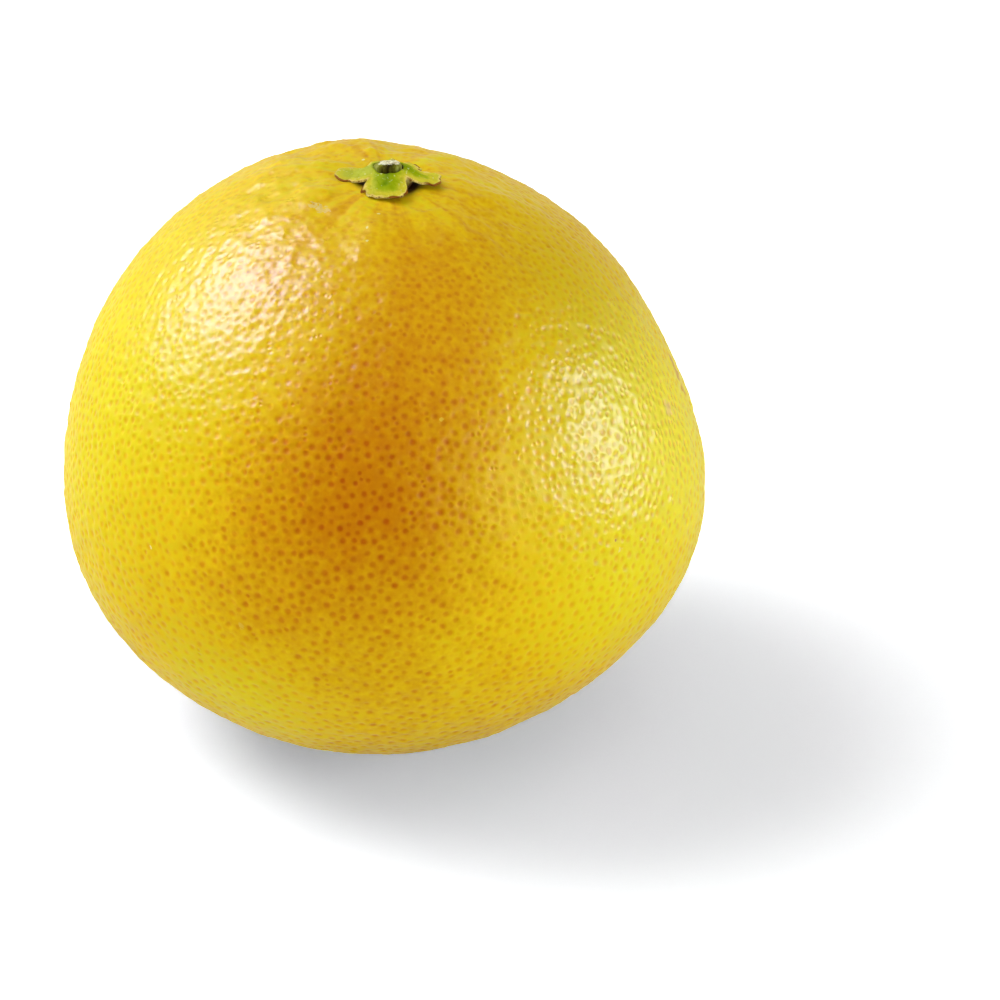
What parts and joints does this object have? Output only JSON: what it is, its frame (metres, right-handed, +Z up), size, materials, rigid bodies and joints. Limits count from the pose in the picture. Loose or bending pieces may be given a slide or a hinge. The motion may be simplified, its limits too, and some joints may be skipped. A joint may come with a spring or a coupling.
{
  "type": "grapefruit",
  "caption": "Whole ripe yellow grapefruit, slightly lopsided, with its green calyx and cut stem stub, resting on its base.",
  "frame": {"origin": "middle of the object's bounding box seen from above, at the level of the surface it rests on", "axes": "+Z up from the resting spot towards the stem end; +X towards the fruit's fuller side, which stands out low on the right when it is seen from the front; -Y towards the front"},
  "size_m": [0.1008, 0.0992, 0.096],
  "materials": {
    "peel": null,
    "calyx_green": null,
    "stem_wood": "cut green-brown woody stem with fine lengthwise ridges and a pale fibrous cut end"
  },
  "bodies": {
    "root": {"fruit": "peel", "calyx": "calyx_green", "stem_stub": "stem_wood"}
  },
  "joints": []
}
